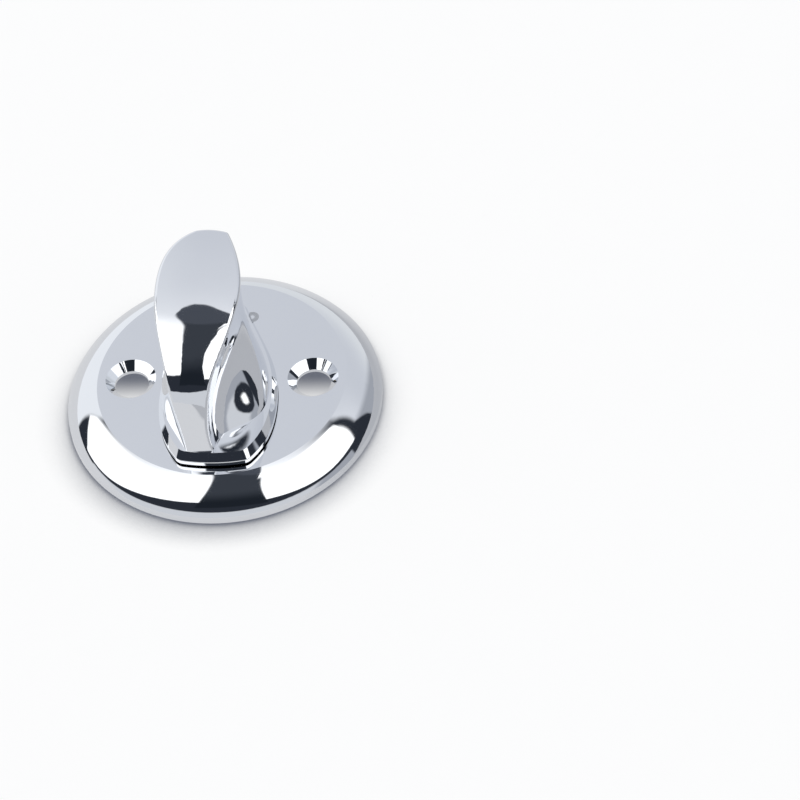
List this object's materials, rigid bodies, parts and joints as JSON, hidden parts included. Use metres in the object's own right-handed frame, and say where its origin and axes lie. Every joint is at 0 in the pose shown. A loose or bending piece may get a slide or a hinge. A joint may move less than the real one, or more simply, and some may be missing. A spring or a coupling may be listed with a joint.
{
  "type": "cylinder thumb turn",
  "caption": "Round cylinder cover with a sculpted, leaf-shaped turning grip on a bearing, and countersunk fixing holes.",
  "frame": {"origin": "centre of the rose's back rim, on the turning axis, at the door's face", "axes": "+Z out of the door along the turning axis, +X along the line through the two screw holes, -Y towards the grip's blunt nose"},
  "size_m": [0.0528, 0.0528, 0.0273],
  "materials": {
    "chrome": "polished chrome plate",
    "steel": "zinc plated",
    "spring_steel": "blued",
    "brass": "machined"
  },
  "bodies": {
    "rose_body": {"rose": "chrome", "bearing_plate": "steel", "bearing_bush": "steel", "rivet_far": "steel", "rivet_near": "steel", "thrust_washer": "brass"},
    "turn_body": {"thumb_turn": "chrome", "spring_washer": "spring_steel", "circlip": "spring_steel", "driver": "brass", "driver_screw": "steel"}
  },
  "joints": [
    {"name": "grip_turn", "type": "hinge", "parent": "rose_body", "child": "turn_body", "pos_m": [0, 0, 0.0058], "axis": [0, 0, 1], "range_deg": [-90, 90]}
  ]
}
